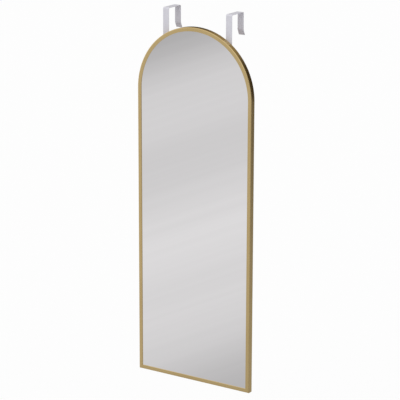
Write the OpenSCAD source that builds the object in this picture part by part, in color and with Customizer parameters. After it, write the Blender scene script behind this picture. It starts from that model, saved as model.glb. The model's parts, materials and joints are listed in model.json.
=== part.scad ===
// Over the door mirror: an arched glass in a slim gold channel frame, hung from two strap hooks.
// X runs to the right as seen from the front, Y runs back through the door, Z runs up.
// The origin is the top front edge of the door, midway between the hooks.

/* [Mirror panel] */
// Width over the frame
panel_w = 340; // [300:5:420]
// Height of the frame from its foot to its crown
panel_h = 929; // [760:1:1200]
// Height of the door's top edge above the crown, with the hooks at their lowest
crown_drop = 38; // [30:0.5:60]

/* [Frame channel] */
// Depth from the front face to the back of the back lip
frame_d = 15; // [14.4:0.1:20]
// Width of the front lip, which is the gold band around the glass
face_w = 10; // [8:0.1:14]
// Width of the back lip
back_lip_w = 7; // [6.6:0.1:9]
// Thickness of the front and back lips
lip_t = 1.5; // [1.2:0.1:2]
// Thickness of the outer wall
wall_t = 1.4; // [1.2:0.1:1.8]
// Radius of the rounded outer front edge
edge_r = 1.8; // [1:0.1:2.2]
// Radius of the outer back edge
back_edge_r = 0.8; // [0.4:0.1:1]

/* [Glass and back] */
// Thickness of the mirror glass
glass_t = 3; // [2:0.5:4]
// Clearance from the edge of the glass to the outer wall
glass_play = 0.5; // [0.3:0.1:0.9]
// Thickness of the foam sheet
foam_t = 1; // [0.5:0.1:2]
// Clearance left on each face of the foam sheet
foam_ease = 0.05; // [0.02:0.01:0.1]
// Clearance from the edge of the foam sheet to the outer wall
foam_play = 0.9; // [0.6:0.1:2]
// Thickness of the back board
board_t = 3; // [2.5:0.1:4]
// Clearance from the edge of the back board to the outer wall
board_play = 0.6; // [0.3:0.1:0.9]

/* [Spring clips] */
// Straight length of a clip
clip_l = 38; // [30:1:50]
// Width of a clip
clip_w = 6; // [5:0.5:8]
// Thickness of the clip strip
clip_t = 0.5; // [0.3:0.1:0.8]
// Clearance from a clip to the outer wall, and to what it bears on
clip_play = 0.1; // [0.05:0.05:0.3]
// Clips on each stile
stile_clips = 3; // [2:1:5]
// Distance from the foot, and from the cross bar, to the nearest clip
clip_end_gap = 120; // [70:1:150]
// Distance from the centre line to each clip on the bottom rail
foot_clip_x = 60; // [40:1:100]
// Angle between neighbouring clips on the arch
arch_clip_step = 60; // [50:1:62]

/* [Corner keys] */
// Length of each leg of a key
key_leg = 34; // [30:1:50]
// Width of each leg
key_w = 11; // [8:0.5:14]
// Clearance from a key to the back board
key_gap = 1.3; // [0.6:0.1:1.9]
// Clearance from a key to the outer walls
key_play = 0.2; // [0.1:0.05:0.4]
// Distance from the corner's outer faces to each key screw
key_screw_at = 23; // [18:1:28]

/* [Lip screws] */
// Radius of the thread
lip_screw_r = 1.5; // [1.2:0.1:1.6]
// Length under the head
lip_screw_l = 4.4; // [4:0.1:4.6]
// Radius of the head
lip_head_r = 2.5; // [2.2:0.1:2.7]
// Height of the head
lip_head_h = 1.3; // [1:0.1:1.6]
// Radial clearance of a thread in a drilled hole
drill_play = 0.15; // [0.05:0.05:0.3]
// Radial clearance of a thread in a tapped hole
tap_play = 0.05; // [0.02:0.01:0.08]
// Depth of the cross recess
lip_recess_d = 0.7; // [0.4:0.1:0.8]
// Length of each bar of the cross recess
lip_recess_l = 2.6; // [2:0.1:3]
// Width of each bar of the cross recess
lip_recess_w = 0.6; // [0.4:0.1:0.8]

/* [Cross bar] */
// Height of the bar
bar_h = 32; // [28:1:50]
// Thickness of the bar
bar_t = 2; // [1.5:0.1:2.2]
// Height of the bar's middle above the back board
bar_lift = 0.8; // [0.7:0.1:0.9]
// Clearance from the bar's ends to the outer wall
bar_play = 1; // [0.5:0.1:2]
// Length of the flat at each end of the bar, under the back lip
bar_end_flat = 13; // [10:0.5:20]
// Length over which the bar steps back towards the lip
bar_step_run = 8; // [5:0.5:14]
// Radius of the bar's rounded outer corners
bar_corner_r = 3; // [1:0.5:4]
// Distance between the two screws at each end of the bar
bar_screw_pitch = 18; // [14:1:20]

/* [Hooks] */
// Distance between the centre lines of the two hooks
hook_spacing = 187; // [120:1:240]
// Width of the steel strap
strap_w = 17.5; // [14:0.5:24]
// Thickness of the steel strap
strap_t = 1.5; // [1.2:0.1:2]
// Clear width inside the hook, for the door leaf
door_gap = 52; // [36:0.5:60]
// Inner radius of the two upper bends
bend_r = 2.5; // [1.5:0.1:5]
// Straight length of the rear leg, measured from the door's top
leg_l = 40; // [25:1:60]
// Angle by which the rear leg's tip flares away from the door
flare_a = 25; // [10:1:40]
// Inner radius of the flare's bend
flare_r = 16; // [8:1:25]
// Straight length of the tip beyond that bend
tip_l = 11; // [5:0.5:16]
// Clearance between the frame and the straps that pass behind it
strap_gap = 0.5; // [0.3:0.1:1]
// Height over which the strap steps forward into the frame
step_h = 8; // [6:0.5:14]
// Clearance from the step to the arch's back lip, with the hook fully raised
step_clear = 8; // [4:0.5:12]
// Radius of the rounded corners at the strap's lower end
tail_r = 3; // [1:0.5:5]
// Length of strap below its slot
tail_l = 7.5; // [5:0.5:15]

/* [Hook adjustment] */
// Height over which each hook can be reset
slide_travel = 30; // [10:1:40]
// Distance between the two clamp screws of a hook
clamp_pitch = 18; // [12:1:20]
// Radius of the clamp screws' thread
clamp_r = 2; // [1.5:0.1:2.5]
// Length of the clamp screws under the head
clamp_l = 5; // [4.5:0.1:5]
// Radius of the clamp screws' head
clamp_head_r = 4; // [3:0.1:4.5]
// Height of the clamp screws' head
clamp_head_h = 2.2; // [1.8:0.1:2.4]
// Depth of the cross recess
clamp_recess_d = 1.2; // [0.8:0.1:1.4]
// Length of each bar of the cross recess
clamp_recess_l = 4.4; // [3:0.1:5]
// Width of each bar of the cross recess
clamp_recess_w = 0.9; // [0.6:0.1:1.2]
// Clearance on each side of a clamp screw in the slot
slot_play = 0.25; // [0.15:0.05:0.5]
// Outer radius of the washers
washer_r = 4.5; // [3.5:0.1:5]
// Thickness of the washers
washer_t = 0.8; // [0.5:0.1:1]
// Radial clearance of the screws in the washers
washer_play = 0.15; // [0.1:0.05:0.3]

/* [Door bumpers] */
// Radius of a bumper on the frame
bumper_r = 5; // [4:0.1:6]
// Radius of a bumper on the door
bumper_tip_r = 4.3; // [3:0.1:5]
// Distance from the frame's outer faces to a bumper's centre
bumper_in = 5.8; // [5:0.1:7]

/* [Hidden] */

$fn = 64;
arch_fn = 240;  // segments of a full circle on the large radii
over = 1;       // how far a cutting shape runs past what it cuts
dome_share = 1.6; // radius of a screw head's crown over the head's own radius
flare_steps = 6;  // flats that make up the flare's bend
LEFT = -1;
RIGHT = 1;

gold = "#c2ab72";
silver_glass = "#c9cbcc";
white_paint = "#dad8de";
fibreboard = "#8a6a4a";
foam_white = "#f1f1ec";
zinc = "#b9bcc0";
bright_steel = "#9fa3a8";
black_rubber = "#2a2a2c";

// Depths, from the door's face at 0 towards the front
back_y = -(strap_t + strap_gap);
front_y = back_y - frame_d;
lip_y = back_y - lip_t;
glass_y = front_y + lip_t;
foam_y = glass_y + glass_t + foam_ease;
board_y = foam_y + foam_t + foam_ease;
board_back_y = board_y + board_t;
bar_y = board_back_y + bar_lift;
bar_end_y = lip_y - bar_t;
clamp_y = bar_y + bar_t;
washer_y = clamp_y + strap_t;
clamp_head_y = washer_y + washer_t;

// Heights and half widths
half_w = panel_w / 2;
crown_z = -crown_drop;
foot_z = crown_z - panel_h;
spring_z = crown_z - half_w;
lip_mid = (wall_t + back_lip_w) / 2;

// Corner keys
key_t = lip_y - board_back_y - key_gap;

// Spring clips
clip_rise = lip_y - board_back_y - 2 * clip_play;
clip_r = (pow(clip_l / 2, 2) + pow(clip_rise, 2)) / (2 * clip_rise);
wall_r = half_w - wall_t;
clip_sag = wall_r - sqrt(pow(wall_r, 2) - pow(clip_l / 2, 2));
first_clip_z = foot_z + clip_end_gap;
last_clip_z = spring_z - bar_h / 2 - clip_end_gap;
clip_pitch = (last_clip_z - first_clip_z) / (stile_clips - 1);

// Cross bar
bar_end_x = half_w - wall_t - bar_play;
bar_flat_x = bar_end_x - bar_end_flat;
bar_step_x = bar_flat_x - bar_step_run;

// Hooks
hook_x = hook_spacing / 2;
slot_r = clamp_r + slot_play;
upper_clamp_z = spring_z + clamp_pitch / 2;
lower_clamp_z = spring_z - clamp_pitch / 2;
slot_low_z = lower_clamp_z - slide_travel;
tail_z = slot_low_z - slot_r - tail_l;
strap_edge_x = hook_x + strap_w / 2;
lip_low_z = spring_z + sqrt(pow(half_w - back_lip_w, 2) - pow(strap_edge_x, 2));
step_top_z = lip_low_z - slide_travel - step_clear;
step_low_z = step_top_z - step_h;

// ---------- shared shapes ----------

// The channel's section: x runs in from the outer face, y runs back from the front face
module channel_section() {
    difference() {
        union() {
            square([face_w, lip_t]);
            square([wall_t, frame_d]);
            translate([0, frame_d - lip_t])
                square([back_lip_w, lip_t]);
        }
        difference() {
            translate([-over, -over])
                square(edge_r + over);
            translate([edge_r, edge_r])
                circle(r = edge_r);
        }
        difference() {
            translate([-over, frame_d - back_edge_r])
                square([back_edge_r + over, back_edge_r + over]);
            translate([back_edge_r, frame_d - back_edge_r])
                circle(r = back_edge_r);
        }
    }
}

// The frame's outline drawn in by a margin, in X and Z
module arch_outline(margin) {
    translate([0, spring_z])
        circle(r = half_w - margin, $fn = arch_fn);
    translate([margin - half_w, foot_z + margin])
        square([panel_w - 2 * margin, spring_z - foot_z - margin]);
}

// A sheet of that outline whose front face lies at depth y
module arch_sheet(y, thickness, margin) {
    translate([0, y + thickness, 0])
        rotate([90, 0, 0])
            linear_extrude(thickness)
                arch_outline(margin);
}

// A round bar or hole that runs back from depth y
module rod(x, y, z, r, length) {
    translate([x, y, z])
        rotate([-90, 0, 0])
            cylinder(r = r, h = length);
}

// A prism of an outline in X and Z, from depth y backwards
module prism(y, length, outline) {
    translate([0, y + length, 0])
        rotate([90, 0, 0])
            linear_extrude(length)
                polygon(outline);
}

// A screw whose domed head sits at depth y and whose thread runs forward from there
module domed_screw(x, y, z, r, length, head_r, head_h, recess) {
    dome_r = dome_share * head_r;
    difference() {
        union() {
            rod(x, y - length, z, r, length);
            intersection() {
                rod(x, y, z, head_r, head_h);
                translate([x, y + head_h - dome_r, z])
                    sphere(r = dome_r);
            }
        }
        for (turn = [0, 90])
            translate([x, y + head_h - recess[0] / 2 + over / 2, z])
                rotate([0, turn, 0])
                    cube([recess[1], recess[0] + over, recess[2]], center = true);
    }
}

// Centres in X and Z of the two screws in one corner key
function key_screws(side) = [
    [side * (half_w - lip_mid), foot_z + key_screw_at],
    [side * (half_w - key_screw_at), foot_z + lip_mid]
];

// Centres in X and Z of the screws at the bar's ends
bar_screws = [
    for (side = [LEFT, RIGHT])
        for (end = [-1, 1])
            [side * (half_w - lip_mid), spring_z + end * bar_screw_pitch / 2]
];

// Centres in X and Z of the two clamp screws of one hook
function clamp_screws(side) = [
    [side * hook_x, lower_clamp_z],
    [side * hook_x, upper_clamp_z]
];

// Screw holes through the back lip
module lip_holes(places) {
    for (p = places)
        rod(p[0], lip_y - over, p[1], lip_screw_r + drill_play, lip_t + 2 * over);
}

// ---------- frame ----------

mitre = face_w + over;

// What the bottom rail takes from the foot of the right stile
module stile_mitre() {
    prism(front_y - over, frame_d + 2 * over, [
        [half_w + over, foot_z - over],
        [half_w - mitre, foot_z + mitre],
        [half_w - mitre, foot_z - over]
    ]);
}

// What the right stile takes from the end of the bottom rail
module rail_mitre() {
    prism(front_y - over, frame_d + 2 * over, [
        [half_w + over, foot_z - over],
        [half_w + over, foot_z + mitre],
        [half_w - mitre, foot_z + mitre]
    ]);
}

module stile() {
    difference() {
        translate([half_w, front_y, foot_z])
            mirror([1, 0, 0])
                linear_extrude(spring_z - foot_z)
                    channel_section();
        stile_mitre();
    }
}

module frame_arch() {
    color(gold)
        difference() {
            union() {
                translate([0, 0, spring_z])
                    rotate([90, 0, 0])
                        rotate_extrude(angle = 180, $fn = arch_fn)
                            translate([half_w, -front_y])
                                rotate(180)
                                    channel_section();
                stile();
                mirror([1, 0, 0])
                    stile();
            }
            lip_holes(bar_screws);
            lip_holes([key_screws(LEFT)[0], key_screws(RIGHT)[0]]);
        }
}

module frame_bottom_rail() {
    color(gold)
        difference() {
            translate([0, front_y, foot_z])
                rotate([0, -90, 0])
                    linear_extrude(panel_w, center = true)
                        channel_section();
            rail_mitre();
            mirror([1, 0, 0])
                rail_mitre();
            lip_holes([key_screws(LEFT)[1], key_screws(RIGHT)[1]]);
        }
}

// A corner key: an angle piece held against the back lip, one leg in each member
module corner_key(side) {
    key_x = half_w - wall_t - key_play;
    key_z = foot_z + wall_t + key_play;
    color(zinc)
        difference() {
            prism(lip_y - key_t, key_t, [
                [side * key_x, key_z],
                [side * key_x, key_z + key_leg],
                [side * (key_x - key_w), key_z + key_leg],
                [side * (key_x - key_w), key_z + key_w],
                [side * (key_x - key_leg), key_z + key_w],
                [side * (key_x - key_leg), key_z]
            ]);
            for (p = key_screws(side))
                rod(p[0], lip_y - key_t - over, p[1], lip_screw_r + tap_play, key_t + 2 * over);
        }
}

module corner_key_left() {
    corner_key(LEFT);
}

module corner_key_right() {
    corner_key(RIGHT);
}

// A screw in the back lip
module lip_screw(p) {
    color(bright_steel)
        domed_screw(p[0], back_y, p[1], lip_screw_r, lip_screw_l, lip_head_r, lip_head_h,
            [lip_recess_d, lip_recess_l, lip_recess_w]);
}

module corner_screws() {
    for (side = [LEFT, RIGHT])
        for (p = key_screws(side))
            lip_screw(p);
}

// ---------- glass and back ----------

module mirror_glass() {
    color(silver_glass)
        arch_sheet(glass_y, glass_t, wall_t + glass_play);
}

module foam_sheet() {
    color(foam_white)
        arch_sheet(foam_y, foam_t, wall_t + foam_play);
}

module back_board() {
    color(fibreboard)
        arch_sheet(board_y, board_t, wall_t + board_play);
}

// A bowed strip whose ends bear on the back board and whose crown bears on the back lip
// Its length runs along X, its rise along Y and its width along Z
module spring_clip() {
    color(bright_steel)
        linear_extrude(clip_w)
            intersection() {
                translate([0, clip_rise - clip_r])
                    difference() {
                        circle(r = clip_r, $fn = arch_fn);
                        circle(r = clip_r - clip_t, $fn = arch_fn);
                    }
                translate([-clip_l / 2, 0])
                    square([clip_l, clip_rise]);
            }
}

// A clip on the right side of the frame, at a distance in from the outer wall
module side_clip(inset) {
    translate([wall_r - inset, board_back_y + clip_play, 0])
        rotate([0, -90, 0])
            spring_clip();
}

module spring_clips() {
    for (side = [LEFT, RIGHT])
        for (i = [0 : stile_clips - 1])
            mirror([side == LEFT ? 1 : 0, 0, 0])
                translate([0, 0, first_clip_z + i * clip_pitch])
                    side_clip(clip_play);
    for (turn = [-1, 0, 1])
        translate([0, 0, spring_z])
            rotate([0, turn * arch_clip_step - 90, 0])
                side_clip(clip_play + clip_sag);
    for (side = [LEFT, RIGHT])
        translate([side * foot_clip_x, board_back_y + clip_play, foot_z + wall_t + clip_play])
            spring_clip();
}

// ---------- cross bar ----------

// The bar seen from above, x along the bar and y through its thickness:
// its front side from left to right, then its back side from right to left
bar_outline = [
    [-bar_end_x, bar_end_y],
    [-bar_flat_x, bar_end_y],
    [-bar_step_x, bar_y],
    [bar_step_x, bar_y],
    [bar_flat_x, bar_end_y],
    [bar_end_x, bar_end_y],
    [bar_end_x, bar_end_y + bar_t],
    [bar_flat_x, bar_end_y + bar_t],
    [bar_step_x, bar_y + bar_t],
    [-bar_step_x, bar_y + bar_t],
    [-bar_flat_x, bar_end_y + bar_t],
    [-bar_end_x, bar_end_y + bar_t]
];

// What a rounded outer corner takes from the bar's upper right end
module bar_corner_cut() {
    corner_x = bar_end_x - bar_corner_r;
    corner_z = spring_z + bar_h / 2 - bar_corner_r;
    difference() {
        translate([corner_x, bar_end_y - over, corner_z])
            cube([bar_corner_r + over, bar_t + 2 * over, bar_corner_r + over]);
        rod(corner_x, bar_end_y - 2 * over, corner_z, bar_corner_r, bar_t + 4 * over);
    }
}

module cross_bar() {
    color(zinc)
        difference() {
            translate([0, 0, spring_z])
                linear_extrude(bar_h, center = true)
                    polygon(bar_outline);
            for (p = bar_screws)
                rod(p[0], bar_end_y - over, p[1], lip_screw_r + tap_play, bar_t + 2 * over);
            for (side = [LEFT, RIGHT])
                for (p = clamp_screws(side))
                    rod(p[0], bar_y - over, p[1], clamp_r + tap_play, bar_t + 2 * over);
            for (flip_x = [0, 1])
                for (flip_z = [0, 1])
                    mirror([flip_x, 0, 0])
                        translate([0, 0, spring_z])
                            mirror([0, 0, flip_z])
                                translate([0, 0, -spring_z])
                                    bar_corner_cut();
        }
}

module cross_bar_screws() {
    for (p = bar_screws)
        lip_screw(p);
}

// ---------- hooks ----------

// One of the two upper bends in the profile's plane: a quarter ring, above its centre,
// on the front side (-1) or the rear side (1) of it
module upper_bend(x, side) {
    reach = bend_r + strap_t;
    translate([x, -bend_r])
        intersection() {
            difference() {
                circle(r = reach);
                circle(r = bend_r);
            }
            translate([side == 1 ? 0 : -reach, 0])
                square(reach);
        }
}

// A point on the flare's bend at radius r, after a turn of a degrees
function flare_point(r, a) =
    [door_gap + strap_t + flare_r - r * cos(a), -leg_l - r * sin(a)];

// The flared tip: down its inner face from the leg, then back up its outer face
flare_turns = [for (i = [0 : flare_steps]) i * flare_a / flare_steps];
tip_run = tip_l * [sin(flare_a), -cos(flare_a)];
flare_outline = concat(
    [for (a = flare_turns) flare_point(flare_r + strap_t, a)],
    [flare_point(flare_r + strap_t, flare_a) + tip_run, flare_point(flare_r, flare_a) + tip_run],
    [for (i = [flare_steps : -1 : 0]) flare_point(flare_r, flare_turns[i])]
);

// The strap seen from its side: x is depth, y is height
module hook_profile() {
    low_front = clamp_y;
    // tail on the cross bar
    translate([low_front, tail_z])
        square([strap_t, step_low_z - tail_z]);
    // step forward into the frame
    polygon([
        [low_front, step_low_z],
        [low_front + strap_t, step_low_z],
        [0, step_top_z],
        [-strap_t, step_top_z]
    ]);
    // strap behind the arch and up the door's face
    translate([-strap_t, step_top_z])
        square([strap_t, -bend_r - step_top_z]);
    upper_bend(bend_r, -1);
    // bridge over the door's top
    translate([bend_r, 0])
        square([door_gap - 2 * bend_r, strap_t]);
    upper_bend(door_gap - bend_r, 1);
    // rear leg and its flared tip
    translate([door_gap, -leg_l])
        square([strap_t, leg_l - bend_r]);
    polygon(flare_outline);
}

// The long slot for the clamp screws
module slot_cut(x) {
    for (z = [slot_low_z, upper_clamp_z])
        rod(x, clamp_y - over, z, slot_r, strap_t + 2 * over);
    translate([x - slot_r, clamp_y - over, slot_low_z])
        cube([2 * slot_r, strap_t + 2 * over, upper_clamp_z - slot_low_z]);
}

// What a rounded corner takes from the right of the tail's lower end
module tail_corner_cut() {
    corner_x = strap_w / 2 - tail_r;
    corner_z = tail_z + tail_r;
    difference() {
        translate([corner_x, clamp_y - over, corner_z - tail_r - over])
            cube([tail_r + over, strap_t + 2 * over, tail_r + over]);
        rod(corner_x, clamp_y - 2 * over, corner_z, tail_r, strap_t + 4 * over);
    }
}

module hook(side) {
    color(white_paint)
        translate([side * hook_x, 0, 0])
            difference() {
                rotate([90, 0, 90])
                    linear_extrude(strap_w, center = true)
                        hook_profile();
                slot_cut(0);
                tail_corner_cut();
                mirror([1, 0, 0])
                    tail_corner_cut();
            }
}

module hook_left() {
    hook(LEFT);
}

module hook_right() {
    hook(RIGHT);
}

// The two screws that clamp one hook on the bar
module hook_screws(side) {
    for (p = clamp_screws(side))
        color(bright_steel)
            domed_screw(p[0], clamp_head_y, p[1], clamp_r, clamp_l, clamp_head_r, clamp_head_h,
                [clamp_recess_d, clamp_recess_l, clamp_recess_w]);
}

module hook_screws_left() {
    hook_screws(LEFT);
}

module hook_screws_right() {
    hook_screws(RIGHT);
}

// The washers under those screws
module hook_washers(side) {
    for (p = clamp_screws(side))
        color(bright_steel)
            difference() {
                rod(p[0], washer_y, p[1], washer_r, washer_t);
                rod(p[0], washer_y - over, p[1], clamp_r + washer_play, washer_t + 2 * over);
            }
}

module hook_washers_left() {
    hook_washers(LEFT);
}

module hook_washers_right() {
    hook_washers(RIGHT);
}

// ---------- door bumpers ----------

// A rubber pad on the foot's back lip that just reaches the door's face
module door_bumper(side) {
    color(black_rubber)
        translate([side * (half_w - bumper_in), back_y, foot_z + bumper_in])
            rotate([-90, 0, 0])
                cylinder(r1 = bumper_r, r2 = bumper_tip_r, h = -back_y);
}

module door_bumper_left() {
    door_bumper(LEFT);
}

module door_bumper_right() {
    door_bumper(RIGHT);
}

// ---------- what is drawn ----------

frame_arch();
frame_bottom_rail();
corner_key_left();
corner_key_right();
corner_screws();
mirror_glass();
foam_sheet();
back_board();
spring_clips();
cross_bar();
cross_bar_screws();
hook_left();
hook_screws_left();
hook_washers_left();
hook_right();
hook_screws_right();
hook_washers_right();
door_bumper_left();
door_bumper_right();
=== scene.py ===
"""Looks of an arched over the door mirror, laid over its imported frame.

X runs to the right as seen from the front, Y back through the door and Z up. The origin is the top front
edge of the door, midway between the hooks. Lengths are in metres, unless their names end in _mm.
"""

import json
import logging
import math
from abc import ABC, abstractmethod
from collections.abc import Mapping, Sequence
from dataclasses import dataclass
from enum import Enum
from itertools import accumulate, pairwise
from typing import Any, NamedTuple

import bmesh
import bpy
from bpy.types import Material, Mesh, Node, NodeSocket, NodeTree, Object
from mathutils import Matrix, Vector


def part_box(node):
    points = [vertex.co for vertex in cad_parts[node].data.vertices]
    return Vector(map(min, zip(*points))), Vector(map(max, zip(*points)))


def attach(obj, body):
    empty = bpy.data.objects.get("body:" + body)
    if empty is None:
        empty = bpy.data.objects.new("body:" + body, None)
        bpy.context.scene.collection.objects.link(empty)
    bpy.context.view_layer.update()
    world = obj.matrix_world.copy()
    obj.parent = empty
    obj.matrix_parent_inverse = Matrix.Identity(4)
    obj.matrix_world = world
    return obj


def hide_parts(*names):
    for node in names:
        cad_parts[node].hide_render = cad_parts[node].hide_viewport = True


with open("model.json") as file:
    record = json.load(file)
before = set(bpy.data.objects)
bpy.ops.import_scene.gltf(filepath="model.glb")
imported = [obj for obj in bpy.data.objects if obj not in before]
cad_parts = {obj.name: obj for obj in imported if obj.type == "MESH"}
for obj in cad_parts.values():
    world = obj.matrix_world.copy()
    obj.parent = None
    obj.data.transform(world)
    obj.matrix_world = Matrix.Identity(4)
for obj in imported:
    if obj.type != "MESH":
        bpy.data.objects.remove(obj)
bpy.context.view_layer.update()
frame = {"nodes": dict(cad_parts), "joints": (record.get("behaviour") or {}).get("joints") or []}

MM = 0.001
DRAW_MAP = "along_and_across"  # the UV map that a swept piece carries, in metres
PIECE_ENDING = "_piece"  # what a built piece's name adds to the name of the node that it stands for
CREASE_DEG = 32.0  # a fold sharper than this keeps its edge when a mesh is smoothed
STRIP_EDGE_STEPS = 4  # how many flats make up each rounded edge of a strip
LEVELLER = "flat_faces_stay_flat"  # the modifier that keeps the shading of flat faces even

SRGB_FULL = 255
SRGB_KNEE = 0.04045  # below it the sRGB curve is a straight line, and above it a power of the level
SRGB_LINE = 12.92
SRGB_OFFSET = 0.055
SRGB_POWER = 2.4

log = logging.getLogger("mirror")

Point2 = tuple[float, float]
Colour = tuple[float, float, float, float]
WHITE: Colour = (1, 1, 1, 1)


# ---------- small tools ----------


def linear(hex_colour: str) -> Colour:
    """Turns an sRGB hex colour into linear light.

    Args:
        hex_colour: Six hex digits after a hash.

    Returns:
        Red, green, blue and an alpha of one.
    """
    light = []
    for byte in bytes.fromhex(hex_colour.removeprefix("#")):
        level = byte / SRGB_FULL
        curved = ((level + SRGB_OFFSET) / (1 + SRGB_OFFSET)) ** SRGB_POWER
        light.append(level / SRGB_LINE if level <= SRGB_KNEE else curved)
    red, green, blue = light
    return red, green, blue, 1.0


def add(
    tree: NodeTree, kind: str, links: Mapping[str | int, Any] | None = None, **settings: Any
) -> Node:
    """Adds a node with its settings and links.

    Args:
        tree: The tree that the node goes into.
        kind: The node's type, without the words that all shader nodes start with.
        links: What each input takes, by its name or number: a plain value, another node's output, or
            another node, which stands for its first output in use.
        **settings: The node's own properties.

    Returns:
        The new node.
    """
    node = tree.nodes.new("ShaderNode" + kind)
    for name, value in settings.items():
        setattr(node, name, value)
    for key, value in (links or {}).items():
        named = [socket for number, socket in enumerate(node.inputs) if key in (number, socket.name)]
        taker = next(socket for socket in named if socket.enabled)
        if isinstance(value, Node):
            value = next(socket for socket in value.outputs if socket.enabled)
        if isinstance(value, NodeSocket):
            tree.links.new(value, taker)
        else:
            taker.default_value = value
    return node


# ---------- mesh building ----------


class Station(NamedTuple):
    """One place along a sweep: a section's point (u, v) lands on origin + u * across + v * through."""

    origin: Vector
    across: Vector
    through: Vector


def rim_station(centre: Vector, radius: float, turn: float) -> Station:
    """Makes a station on an upright circle, turned from +X towards +Z, whose u runs in and v back."""
    out = Vector((math.cos(turn), 0, math.sin(turn)))
    return Station(centre + out * radius, -out, Vector((0, 1, 0)))


class Corner(NamedTuple):
    """A corner of a section or of the line that a strip follows, with the radius that rounds it."""

    first: float
    second: float
    radius: float = 0.0

    @property
    def spot(self) -> Vector:
        """Gives the corner's place."""
        return Vector((self.first, self.second))


def quarter_turn(steps: int) -> list[Point2]:
    """Lists the cosine and the sine of each step of a quarter turn."""
    turns = [math.pi / 2 * step / steps for step in range(steps + 1)]
    return [(math.cos(turn), math.sin(turn)) for turn in turns]


def rounded_section(corners: Sequence[Corner], steps: int) -> list[Point2]:
    """Rounds the corners of a closed section whose sides all run along u or v.

    Args:
        corners: The corners in order.
        steps: How many flats make up each quarter turn.

    Returns:
        The section's points in order.
    """
    points: list[Point2] = []
    for before, corner, after in zip([corners[-1], *corners], corners, [*corners[1:], corners[0]]):
        back = (before.spot - corner.spot).normalized() * corner.radius
        onward = (after.spot - corner.spot).normalized() * corner.radius
        centre = corner.spot + back + onward
        for cosine, sine in quarter_turn(steps):
            spot = centre - onward * cosine - back * sine
            points.append((spot.x, spot.y))
    return points


def running_lengths(points: Sequence[Vector], closed: bool) -> list[float]:
    """Gives how far along each point lies, and the whole way round if the points close a ring."""
    row = [*points, points[0]] if closed else points
    return [0.0, *accumulate((after - before).length for before, after in pairwise(row))]


class Zone(Enum):
    """The faces of a swept sheet, in the order of its material slots."""

    FRONT = 0
    EDGE = 1
    BACK = 2


def sweep(name: str, section: Sequence[Point2], stations: Sequence[Station], ring: bool) -> Object:
    """Carries a section along a row of stations and closes what is left open with two flat caps.

    Args:
        name: The new object's name.
        section: The section's points.
        stations: The places along the way.
        ring: True if the way is closed and the section open, as for a sheet's edge. False if the section
            is closed and the way open, as for a strap.

    Returns:
        The new object, smooth along its curves, with a UV map in metres along the way and across it.
    """
    across = len(section)
    along = len(stations)
    points = [place.origin + u * place.across + v * place.through for place in stations for u, v in section]
    way = running_lengths([place.origin for place in stations], ring)
    girth = running_lengths([Vector(spot) for spot in section], not ring)
    faces: list[list[int]] = []
    spots: list[list[Point2]] = []
    zones: list[Zone] = []
    for row in range(along - (not ring)):
        near, far = way[row], way[row + 1]
        here, there = row * across, (row + 1) % along * across
        for column in range(across - ring):
            start, stop = girth[column], girth[column + 1]
            beside = (column + 1) % across
            faces.append([here + column, here + beside, there + beside, there + column])
            spots.append([(near, start), (near, stop), (far, stop), (far, start)])
            zones.append(Zone.EDGE)
    total = len(points)
    caps = [(Zone.EDGE, range(across)), (Zone.EDGE, range(total - across, total))]
    if ring:
        caps = [(Zone.FRONT, range(0, total, across)), (Zone.BACK, range(across - 1, total, across))]
    for zone, cap in caps:
        faces.append(list(cap))
        spots.append([(points[corner].x, points[corner].z) for corner in cap])
        zones.append(zone)
    mesh = bpy.data.meshes.new(name)
    mesh.from_pydata(points, [], faces)
    mesh.polygons.foreach_set("material_index", [zone.value for zone in zones])
    layer = mesh.uv_layers.new(name=DRAW_MAP)
    layer.uv.foreach_set("vector", [length for face in spots for spot in face for length in spot])
    return finished_object(name, mesh)


def smooth(mesh: Mesh) -> None:
    """Smooths a mesh along its curves and keeps its creases sharp."""
    mesh.polygons.foreach_set("use_smooth", [True] * len(mesh.polygons))
    mesh.set_sharp_from_angle(angle=math.radians(CREASE_DEG))


def finished_object(name: str, mesh: Mesh) -> Object:
    """Turns a mesh's faces outwards, smooths it and links it into the scene.

    Args:
        name: The object's name.
        mesh: The mesh.

    Returns:
        The object.
    """
    work = bmesh.new()
    work.from_mesh(mesh)
    bmesh.ops.recalc_face_normals(work, faces=work.faces)
    work.to_mesh(mesh)
    work.free()
    smooth(mesh)
    piece = bpy.data.objects.new(name, mesh)
    bpy.context.scene.collection.objects.link(piece)
    piece.modifiers.new(LEVELLER, "WEIGHTED_NORMAL").keep_sharp = True
    return piece


def cut_away(piece: Object, cutter: Object) -> None:
    """Takes one body out of another for good, and deletes the cutter.

    Args:
        piece: What is cut.
        cutter: What it is cut with.
    """
    boolean = piece.modifiers.new("cut", "BOOLEAN")
    boolean.object = cutter
    boolean.solver = "EXACT"
    leveller = piece.modifiers[LEVELLER]
    leveller.show_viewport = False
    bpy.context.view_layer.update()
    shaped = piece.evaluated_get(bpy.context.evaluated_depsgraph_get())
    piece.data = bpy.data.meshes.new_from_object(shaped)
    piece.modifiers.remove(boolean)
    smooth(piece.data)
    leveller.show_viewport = True
    bpy.data.objects.remove(cutter)


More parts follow.
